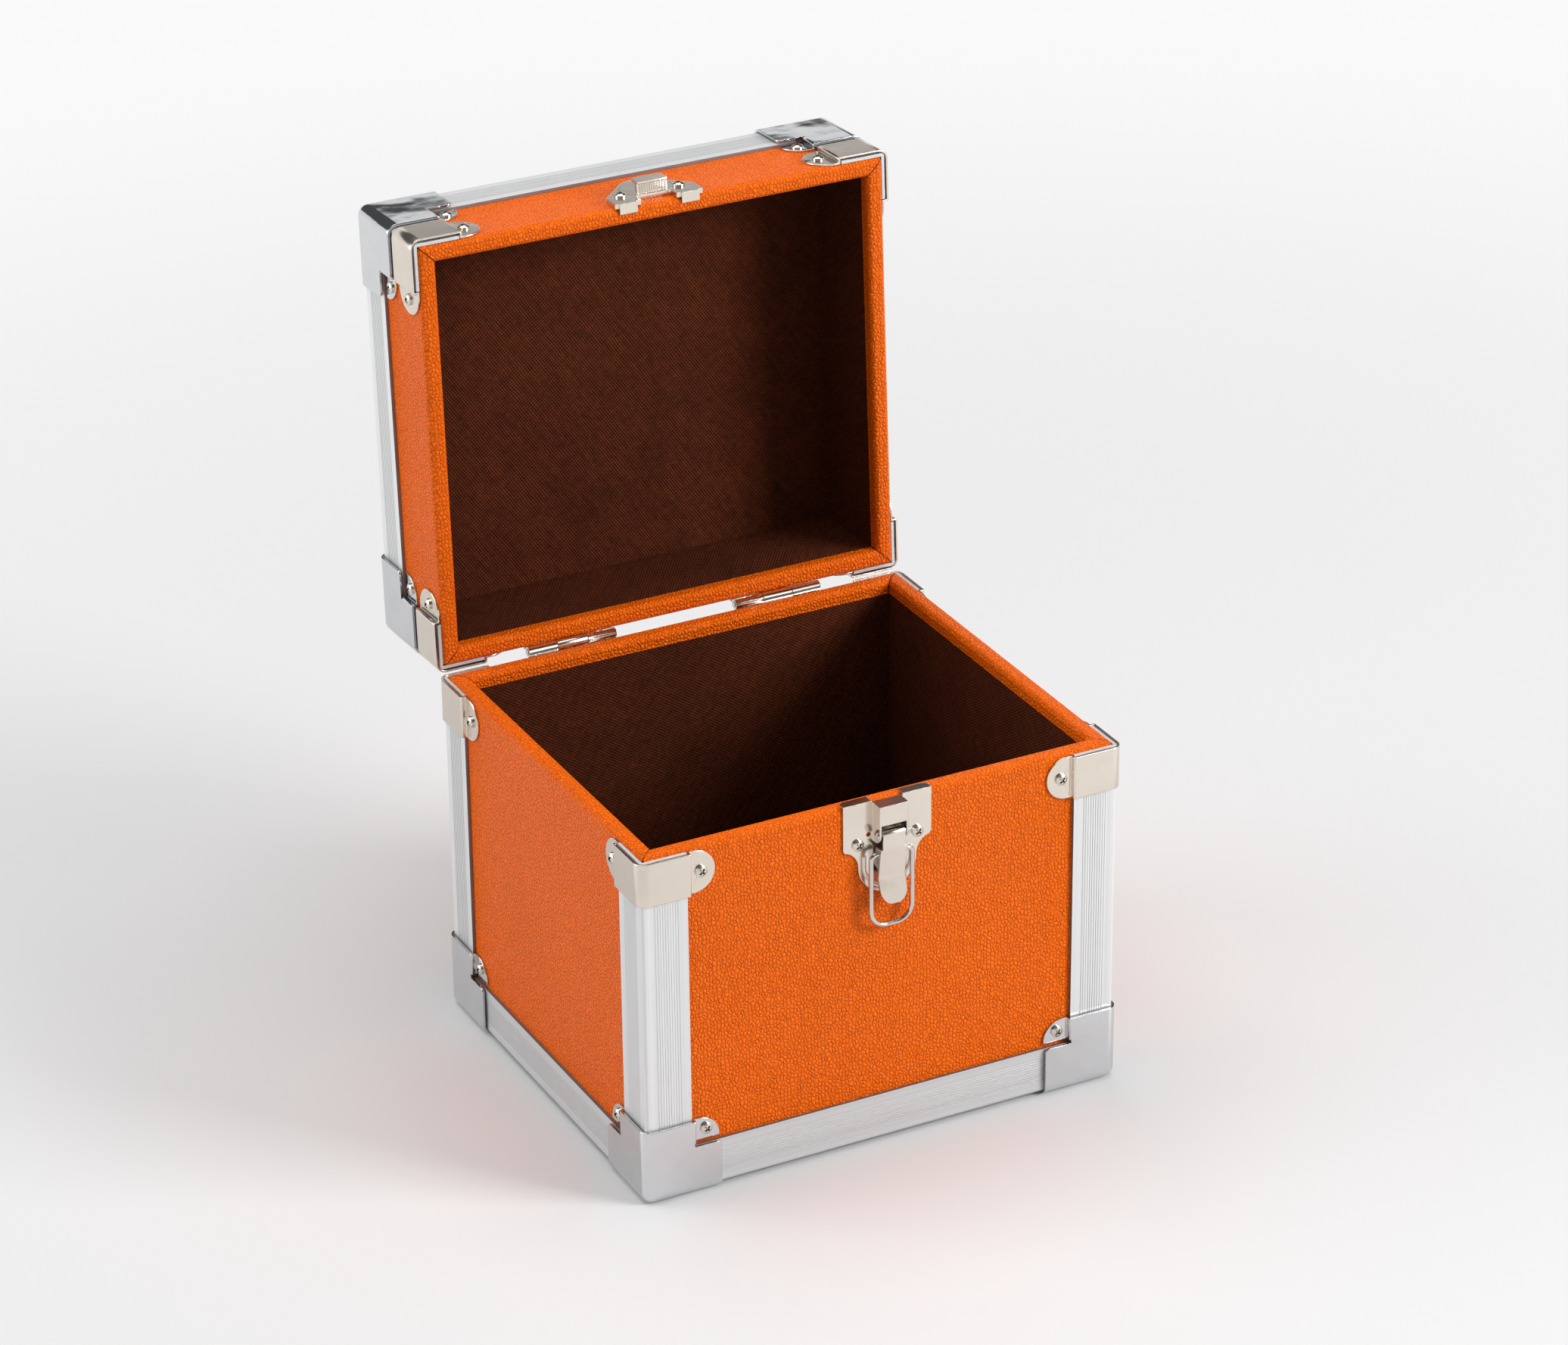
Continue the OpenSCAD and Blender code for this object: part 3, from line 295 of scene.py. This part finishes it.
def leatherette(name, turned=False, flat=True):
    """Grained covering: small pebbles parted by fine creases."""
    s = Shader(name)
    p = s.coords(turned)
    place = s.join(*s.planar(p, turned), 0.0) if flat else p
    wander = s.vec("SUBTRACT", s.noise(p, WANDER_SCALE, output="Color"), (0.5, 0.5, 0.5))
    near = s.vec("ADD", place, s.vec("SCALE", wander, scale=WANDER))
    squeezed = s.vec("MULTIPLY", near, PEBBLE_SQUEEZE)
    grid = {"random": PEBBLE_RANDOM, "flat": flat}
    pebble = s.cells(squeezed, PEBBLE_SCALE, "DISTANCE_TO_EDGE", **grid)
    each = s.cells(squeezed, PEBBLE_SCALE, output="Color", **grid)
    fine = s.cells(near, HAIR_SCALE, "DISTANCE_TO_EDGE", flat=flat)
    cloud = s.noise(p, LEATHER_CLOUD_SCALE)

    # creases are narrow and deep in places, and nearly closed in others
    held = s.remap(cloud, *HELD_BETWEEN, *HELD_SHARE)
    crack = s.product(s.invert(s.remap(pebble, 0.0, CRACK_WIDTH, smooth=True)), held)
    hair = s.invert(s.remap(fine, 0.0, HAIR_WIDTH, smooth=True))
    depth = s.math("MAXIMUM", crack, s.product(hair, HAIR_SHADE))
    seam = off_seam(s, p, turned)

    dome = s.remap(pebble, 0.0, DOME_WIDTH, smooth=True)
    height = s.product(dome, s.math("MULTIPLY_ADD", held, 1.0 - DOME_LEAST, DOME_LEAST))
    height = s.math("MULTIPLY_ADD", hair, -HAIR_DEPTH, height)
    height = s.math("MULTIPLY_ADD", s.noise(p, GRAIN_SCALE, 3.0, 0.6), GRAIN_DEPTH, height)
    height = s.math("MULTIPLY_ADD", seam, SEAM_DEPTH, height)

    # each pebble takes the dye a little differently
    tone = s.product(
        s.spread(s.noise(p, LEATHER_SHADE_SCALE, 3.0), *LEATHER_SHADE_TONES),
        s.spread(cloud, *LEATHER_CLOUD_TONES),
        s.remap(s.split(each)[0], 0.0, 1.0, *PEBBLE_TONES),
    )
    # painted shade: the creases darkened towards the crease colour
    colour = s.mix(s.product(depth, CRACK_SHADE), LEATHER, LEATHER_CREASE_SHADE)
    colour = s.mix(seam, LEATHER_SEAM, s.toned(colour, tone))
    rough = s.math(
        "ADD",
        s.remap(depth, 0.0, 1.0, *LEATHER_ROUGH),
        s.spread(cloud, -LEATHER_ROUGH_SPREAD, LEATHER_ROUGH_SPREAD),
    )
    s.set(Base_Color=colour, Roughness=rough, Specular_IOR_Level=LEATHER_SPECULAR)
    s.set(Normal=s.bump(height, LEATHER_RELIEF))
    return s.mat


# Lining

# The near-black gap colour is painted shade between the threads
CLOTH_GAP_SHADE = (0.0080, 0.0014, 0.0005)
CLOTH_THREAD = (0.148, 0.0335, 0.0112)
CLOTH_RELIEF = 0.00022
THREAD_PITCH = 0.00112
THREAD_SWAY = 0.00025
THREAD_SWAY_SCALE = 60.0
WEAVE_LEAN = math.radians(-34.5)
# How fast the tone changes from one thread to the next, and along a thread
NEXT_THREAD = 0.11
SAME_THREAD = 0.012
WARP_TONES = (0.80, 1.16)
WEFT_TONES = (0.90, 1.08)
CLOTH_SHADE_SCALE = 30.0
CLOTH_SHADE_TONES = (0.84, 1.14)
FUZZ_SCALE = 3200.0
FUZZ_DEPTH = 0.25
SLUB_SCALE = 420.0
SLUB_TONES = (0.6, 1.0)
CLOTH_ROUGH = 0.92
CLOTH_SPECULAR = 0.10


def lining(name, turned=False):
    """Dark brown cloth in a plain weave on the bias, with painted shade in the gaps between its
    threads.
    """
    s = Shader(name)
    p = s.coords(turned)
    u, v = s.planar(p, turned)
    pitch = 2 * math.pi / THREAD_PITCH
    run = math.cos(WEAVE_LEAN) * pitch
    rise = math.sin(WEAVE_LEAN) * pitch
    across = s.math("MULTIPLY_ADD", u, run, s.product(v, rise))
    along = s.math("MULTIPLY_ADD", v, run, s.product(u, -rise))
    sway = s.spread(s.noise(p, THREAD_SWAY_SCALE), -THREAD_SWAY, THREAD_SWAY)
    drift = s.product(sway, pitch)
    warp = s.math("POWER", s.wave(s.math("ADD", across, drift)), 0.5)
    weft = s.math("POWER", s.wave(s.math("SUBTRACT", along, drift)), 0.4)
    thread = s.invert(s.product(warp, weft))
    fuzz = s.noise(p, FUZZ_SCALE, 3.0, 0.7)
    slub = s.noise(p, SLUB_SCALE, 3.0, 0.6)
    lit = s.product(s.remap(thread, 0.05, 0.85), s.remap(slub, 0.3, 0.65, *SLUB_TONES))

    # some threads are darker than others
    by_warp = s.join(s.product(across, NEXT_THREAD), s.product(along, SAME_THREAD), 0.0)
    by_weft = s.join(s.product(across, SAME_THREAD), s.product(along, NEXT_THREAD), 4.0)
    tone = s.product(
        s.spread(s.noise(p, CLOTH_SHADE_SCALE, 4.0, 0.6), *CLOTH_SHADE_TONES),
        s.remap(s.noise(by_warp, 1.0, 1.0), 0.25, 0.75, *WARP_TONES),
        s.remap(s.noise(by_weft, 1.0, 1.0), 0.25, 0.75, *WEFT_TONES),
    )
    # painted shade: the gaps between threads take the near-black gap colour
    colour = s.toned(s.mix(lit, CLOTH_GAP_SHADE, CLOTH_THREAD), tone)
    relief = s.bump(s.math("MULTIPLY_ADD", fuzz, FUZZ_DEPTH, thread), CLOTH_RELIEF, 0.9)
    s.set(Base_Color=colour, Roughness=CLOTH_ROUGH, Specular_IOR_Level=CLOTH_SPECULAR)
    s.set(Normal=relief)
    return s.mat


# Metals

# Relief of the finest lines and marks on a metal
FINE_RELIEF = 0.000006

DRAWN_METALLIC = 0.45
DRAWN_ROUGH = 0.42
# Lines of drawing are stretched along the metal: places along it count for this share
DRAWN_SHARE = 0.0006
DRAWN_EDGE = 0.0003
DRAWN_FACING = 0.5
LINE_SCALE = 3400.0
LINE_TONES = (-0.035, 0.03)
BAND_SCALE = 620.0
BAND_TONES = (0.93, 1.03)
MARK_SCALE = 60.0
PIT_SCALE = 150.0
PIT_TONE = 0.80
# Closed faces below this height look down and those above it look up
INSIDE_Z = 0.10
# The thin flanks that turn in to the covering face inward by this much, and are darkened by the
# tone below as painted shade, a shadow line along the covering
FLANK_FACING = -0.6
FLANK_SHADE_TONE = 0.30


def drawn_lines(s, p, turned):
    """Places for lines that run along level edgings, and turn with the mitre on a closed face."""
    nx, _, nz = s.split(s.vec("ABSOLUTE", s.normal(turned)))
    x, y, _ = s.split(s.vec("ABSOLUTE", p))
    level = s.math("GREATER_THAN", nz, DRAWN_FACING)
    beside = s.math("GREATER_THAN", s.math("SUBTRACT", x, HALF_W), s.math("SUBTRACT", y, HALF_D))
    upright = s.math("GREATER_THAN", nx, DRAWN_FACING)
    side = s.math("MAXIMUM", upright, s.product(level, beside))
    run_x = s.vec("MULTIPLY", p, (DRAWN_SHARE, 1.0, 1.0))
    run_y = s.vec("MULTIPLY", p, (1.0, DRAWN_SHARE, 1.0))
    return s.mix(side, run_x, run_y)


def drawn_metal(name, colour, upright=False, turned=False):
    """Ribbed metal drawn along its length, with fine lines and a few marks."""
    s = Shader(name)
    p = s.coords(turned)
    outward = s.vec("SIGN", s.vec("SUBTRACT", p, (0.0, 0.0, INSIDE_Z)))
    if upright:
        lines = s.vec("MULTIPLY", p, (1.0, 1.0, DRAWN_SHARE))
        outward = s.vec("MULTIPLY", outward, (1.0, 1.0, 0.0))
    else:
        lines = drawn_lines(s, p, turned)
    fine = s.noise(lines, LINE_SCALE, 2.0, 0.6)
    wide = s.noise(lines, BAND_SCALE)
    mark = s.noise(p, MARK_SCALE, 4.0, 0.6)
    pit = s.cells(p, PIT_SCALE)
    facing = s.vec("DOT_PRODUCT", s.normal(turned), outward)
    # painted shade: inward flanks darkened as a shadow line along the covering
    flank = s.math("LESS_THAN", facing, FLANK_FACING)
    tone = s.product(
        s.math("ADD", s.remap(fine, 0.25, 0.75, *LINE_TONES), s.spread(wide, *BAND_TONES)),
        s.remap(pit, 0.022, 0.05, PIT_TONE, 1.0),
        s.remap(flank, 0.0, 1.0, 1.0, FLANK_SHADE_TONE),
    )
    rough = s.math(
        "ADD",
        s.remap(mark, 0.35, 0.7, DRAWN_ROUGH - 0.03, DRAWN_ROUGH + 0.05),
        s.spread(fine, -0.04, 0.04),
    )
    relief = s.bump(fine, FINE_RELIEF, 0.5, s.rounded(DRAWN_EDGE))
    s.set(Base_Color=s.toned(colour, tone), Metallic=DRAWN_METALLIC, Roughness=rough)
    s.set(Normal=relief)
    return s.mat


# Plated metal: relief of its broad waves and small dents, for lumps of 1
WAVE_SCALE = 42.0
WAVE_RELIEF = 0.0007
DENT_SCALE = 260.0
DENT_RELIEF = 0.00003
# How wiping marks and scratches run: places along them count for less
WIPED = (1.0, 0.5, 0.18)
WIPE_SCALE = 1500.0
SCRATCHED = (0.06, 0.2, 1.0)
SCRATCH_SCALE = 2400.0
CLOUD_SCALE = 75.0
CLOUD_TONE = 0.05
SPECK_SCALE = 330.0
SPECK_TONE = 0.62
RECESS_SHADE_TONE = 0.05


def plated(name, colour, rough, marks, dull=0.0, lumps=0.3, brushed=0.0, edge=0.0005, recess=None):
    """Plated pressed metal: soft dents, wiping marks, a few specks and painted shade in recesses.
    """
    s = Shader(name)
    p = s.coords()
    wipe = s.noise(s.vec("MULTIPLY", p, WIPED), WIPE_SCALE, 4.0, 0.65)
    cloud = s.noise(p, CLOUD_SCALE, 4.0, 0.6)
    scratch = s.noise(s.vec("MULTIPLY", p, SCRATCHED), SCRATCH_SCALE)
    speck = s.cells(p, SPECK_SCALE)
    tone = s.product(
        s.remap(cloud, 0.3, 0.75, 1.0, 1.0 - CLOUD_TONE - dull),
        s.remap(scratch, 0.28, 0.42, 1.0 - brushed, 1.0),
        s.remap(speck, 0.025, 0.05, SPECK_TONE, 1.0),
    )
    # painted shade: recesses darkened by how closed in they are
    if recess:
        tone = s.product(tone, s.remap(s.open_sky(recess), 0.35, 0.85, RECESS_SHADE_TONE, 1.0))
    uneven = s.math(
        "ADD",
        s.remap(cloud, 0.35, 0.7, rough, rough + marks),
        s.remap(wipe, 0.35, 0.75, 0.0, marks * 0.5),
    )
    waves = s.noise(p, WAVE_SCALE, 2.0, 0.4)
    relief = s.bump(waves, WAVE_RELIEF * lumps, 1.0, s.rounded(edge))
    relief = s.bump(s.noise(p, DENT_SCALE), DENT_RELIEF * lumps, 1.0, relief)
    relief = s.bump(wipe, FINE_RELIEF, 0.4, relief)
    s.set(Base_Color=s.toned(colour, tone), Metallic=1.0, Roughness=uneven, Normal=relief)
    return s.mat


# Boards

BOARD_DARK = (0.33, 0.19, 0.09)
BOARD_PALE = (0.62, 0.43, 0.24)
# The board's bands run long from front to back, and less so upward
BOARD_RUN = (1.0, 0.12, 0.4)
BOARD_SCALE = 320.0
BOARD_RELIEF = 0.0001
BOARD_ROUGH = 0.75


def plywood(name, turned=False):
    """Pale board, seen only from inside the walls."""
    s = Shader(name)
    p = s.vec("MULTIPLY", s.coords(turned), BOARD_RUN)
    band = s.noise(p, BOARD_SCALE, 4.0, 0.6)
    colour = s.mix(s.spread(band, 0.0, 1.0), BOARD_DARK, BOARD_PALE)
    s.set(Base_Color=colour, Roughness=BOARD_ROUGH, Normal=s.bump(band, BOARD_RELIEF, 0.3))
    return s.mat


# By slot of the record, and by the two kinds of edgings. A pair is for the box and the lid.

CHROME = (0.69, 0.70, 0.715)
NICKEL = (0.775, 0.695, 0.61)
WIRE = (0.64, 0.61, 0.575)
SCREW = (0.74, 0.68, 0.59)
# The edgings are one aluminium in copies of different brightness: the base edging and the lid's
# uprights are darker as painted shade, and the lid's top edging is lighter as painted light
ALU_BOX = (0.765, 0.77, 0.775)
ALU_BASE_SHADED = (0.645, 0.645, 0.65)
ALU_LID_SHADED = (0.66, 0.665, 0.675)
ALU_TOP_LIT = (0.80, 0.805, 0.81)
SCREW_EDGE = 0.0002
RECESS_REACH = 0.0013
MATERIALS = {
    "leatherette": (
        leatherette("leatherette_box"),
        leatherette("leatherette_lid", turned=True),
    ),
    "lining": (lining("lining_box"), lining("lining_lid", turned=True)),
    "board": (plywood("board_box"), plywood("board_lid", turned=True)),
    "corner_chrome": plated(
        "corner_chrome", CHROME, rough=0.055, marks=0.05, dull=0.03, lumps=1.3, brushed=0.05
    ),
    "nickel": plated(
        "nickel", NICKEL, rough=0.15, marks=0.07, dull=0.03, lumps=0.16, brushed=0.025
    ),
    "wire": plated("wire_plate", WIRE, rough=0.09, marks=0.05),
    "screw": plated(
        "screw_plate",
        SCREW,
        rough=0.16,
        marks=0.10,
        dull=0.1,
        edge=SCREW_EDGE,
        recess=RECESS_REACH,
    ),
    "grip": leatherette("leatherette_grip", flat=False),
    "upright": (
        drawn_metal("edging_box", ALU_BOX, upright=True),
        drawn_metal("edging_lid", ALU_LID_SHADED, upright=True, turned=True),
    ),
    "level": (
        drawn_metal("edging_base", ALU_BASE_SHADED),
        drawn_metal("edging_top", ALU_TOP_LIT, turned=True),
    ),
}


def material_for(node):
    """The material of a CAD node, by its slot in the record and its place."""
    entry = [row for row in frame["record"]["subparts"] if row["node"] == node][0]
    key = entry["material_slot"]
    if key == "edging":
        key = "upright" if "upright" in node else "level"
    found = MATERIALS[key]
    if isinstance(found, tuple):
        return found[1 if node.startswith("lid") else 0]
    return found


for name, obj in frame["nodes"].items():
    obj.data.materials.clear()
    obj.data.materials.append(material_for(name))


# Softened edges on the metal pieces, which are pressed and tumbled: a width for each word in
# the names of nodes

METAL_EDGE = {
    "corner": 0.00028,
    "clamp": 0.00022,
    "latch_plate": 0.00035,
    "keeper": 0.00036,
    "latch_lever": 0.00036,
    "hinge": 0.0002,
    "bracket": 0.0003,
    "handle_arms": 0.0004,
}
WELD_REACH = 0.000002
EDGE_ANGLE = math.radians(38)


def soften(obj, width):
    weld = obj.modifiers.new("weld", "WELD")
    weld.merge_threshold = WELD_REACH
    soft = obj.modifiers.new("soft_edges", "BEVEL")
    soft.width = width
    soft.segments = 2
    soft.limit_method = "ANGLE"
    soft.angle_limit = EDGE_ANGLE


for name, obj in frame["nodes"].items():
    if "screws" in name or "pins" in name:
        continue
    for word, width in METAL_EDGE.items():
        if word in name:
            soften(obj, width)
            break


# Floor, light and camera

BACKDROP = (0.95, 0.95, 0.95)
FLOOR_HALF = 12.0
FLOOR_SCALE = 1.4
FLOOR_TONES = (0.695, 0.705)
FLOOR_ROUGH = 0.6
FLOOR_SPECULAR = 0.2
# Away from the case the floor glows as the backdrop does. The glow grows between these
# distances from a point in front of the case's middle.
GLOW_START = 0.22
GLOW_FULL = 1.4
GLOW_FORWARD = 0.12

SKY = (0.97, 0.98, 1.0)
SKY_LIGHT = 0.28
# What the metals mirror: a pale backdrop, which gives way to a dark ceiling between these
# heights of the line of sight, and lower at the left
MIRRORED_BACKDROP = (0.86, 0.86, 0.86)
MIRRORED_CEILING = (0.08, 0.08, 0.085)
CEILING_START = 0.226
CEILING_FULL = 0.290
CEILING_LEAN = -0.05

# Each light with its place, the point it looks at, its width and its power
LIGHTS = {
    "key": ((1.5, -1.45, 1.15), (0, 0, 0.15), 0.9, 46.0),
    "top": ((-0.1, 0.3, 1.9), (0, 0, 0.1), 1.8, 23.0),
    "left": ((-1.8, 0.75, 0.8), (0, 0, 0.14), 1.3, 19.5),
}


def floor_material():
    """Pale floor that keeps the shadows and runs into a white backdrop all round."""
    s = Shader("studio_floor")
    p = s.coords()
    tone = s.spread(s.noise(p, FLOOR_SCALE), *FLOOR_TONES)
    s.set(Base_Color=s.join(tone, tone, tone), Roughness=FLOOR_ROUGH)
    s.set(Specular_IOR_Level=FLOOR_SPECULAR)
    glow = s.add("Emission", Color=BACKDROP, Strength=1.0)
    away = s.vec("LENGTH", s.vec("ADD", p, (0.0, GLOW_FORWARD, 0.0)))
    behind = s.remap(away, GLOW_START, GLOW_FULL, smooth=True)
    seen = s.rays("Camera", "Glossy", "Transmission")
    both = s.blend(s.product(seen, behind), s.bsdf.outputs[0], glow.outputs[0])
    s.put(s.out.inputs[0], both)
    return s.mat


def add_floor():
    mesh = bpy.data.meshes.new("floor")
    build = bmesh.new()
    bmesh.ops.create_grid(build, x_segments=8, y_segments=8, size=FLOOR_HALF)
    build.to_mesh(mesh)
    build.free()
    obj = bpy.data.objects.new("floor", mesh)
    bpy.context.collection.objects.link(obj)
    obj.data.materials.append(floor_material())


def add_world():
    """Pale studio round the object, with a dim ceiling above its backdrop."""
    world = bpy.data.worlds.new("studio")
    bpy.context.scene.world = world
    world.use_nodes = True
    n = Nodes(world.node_tree)
    x, _, z = n.split(n.add("TexCoord").outputs["Generated"])
    height = n.math("MULTIPLY_ADD", x, CEILING_LEAN, z)
    upper = n.remap(height, CEILING_START, CEILING_FULL, smooth=True)
    studio = n.blend(upper, n.background(MIRRORED_BACKDROP), n.background(MIRRORED_CEILING))
    plain = n.background(SKY, SKY_LIGHT)
    shade = n.blend(n.rays("Glossy", "Transmission"), plain, studio)
    shade = n.blend(n.rays("Camera"), shade, n.background(BACKDROP))
    n.put(n.add("OutputWorld").inputs[0], shade)


def add_area(name, place, aim, width, power):
    light = bpy.data.lights.new(name, "AREA")
    light.shape = "SQUARE"
    light.size = width
    light.energy = power
    obj = bpy.data.objects.new(name, light)
    bpy.context.collection.objects.link(obj)
    obj.location = place
    obj.rotation_euler = (Vector(aim) - Vector(place)).to_track_quat("-Z", "Y").to_euler()


def add_camera():
    """The photograph's view, fitted to measured corners and edges of the case."""
    azimuth = math.radians(-27.21)
    elevation = math.radians(26.36)
    roll = math.radians(-0.54)
    distance = 2.148
    target = Vector((-0.00186, -0.01120, 0.17601))
    sensor = 36.0
    focal_pixels = 7057.3
    photo_pixels = 2072.0
    back = Vector(
        (
            math.sin(azimuth) * math.cos(elevation),
            -math.cos(azimuth) * math.cos(elevation),
            math.sin(elevation),
        )
    )
    right = Vector((math.cos(azimuth), math.sin(azimuth), 0))
    up = back.cross(right)
    turned_right = right * math.cos(roll) + up * math.sin(roll)
    turned_up = up * math.cos(roll) - right * math.sin(roll)
    matrix = Matrix((turned_right, turned_up, back)).transposed().to_4x4()
    matrix.translation = target + back * distance
    data = bpy.data.cameras.new("camera")
    data.sensor_fit = "HORIZONTAL"
    data.sensor_width = sensor
    data.lens = sensor * focal_pixels / photo_pixels
    data.clip_start = 0.05
    data.clip_end = 60.0
    obj = bpy.data.objects.new("camera", data)
    bpy.context.collection.objects.link(obj)
    obj.matrix_world = matrix
    bpy.context.scene.camera = obj


add_floor()
add_world()
for name, settings in LIGHTS.items():
    add_area(name, *settings)
add_camera()
bpy.context.scene.view_settings.view_transform = "Standard"
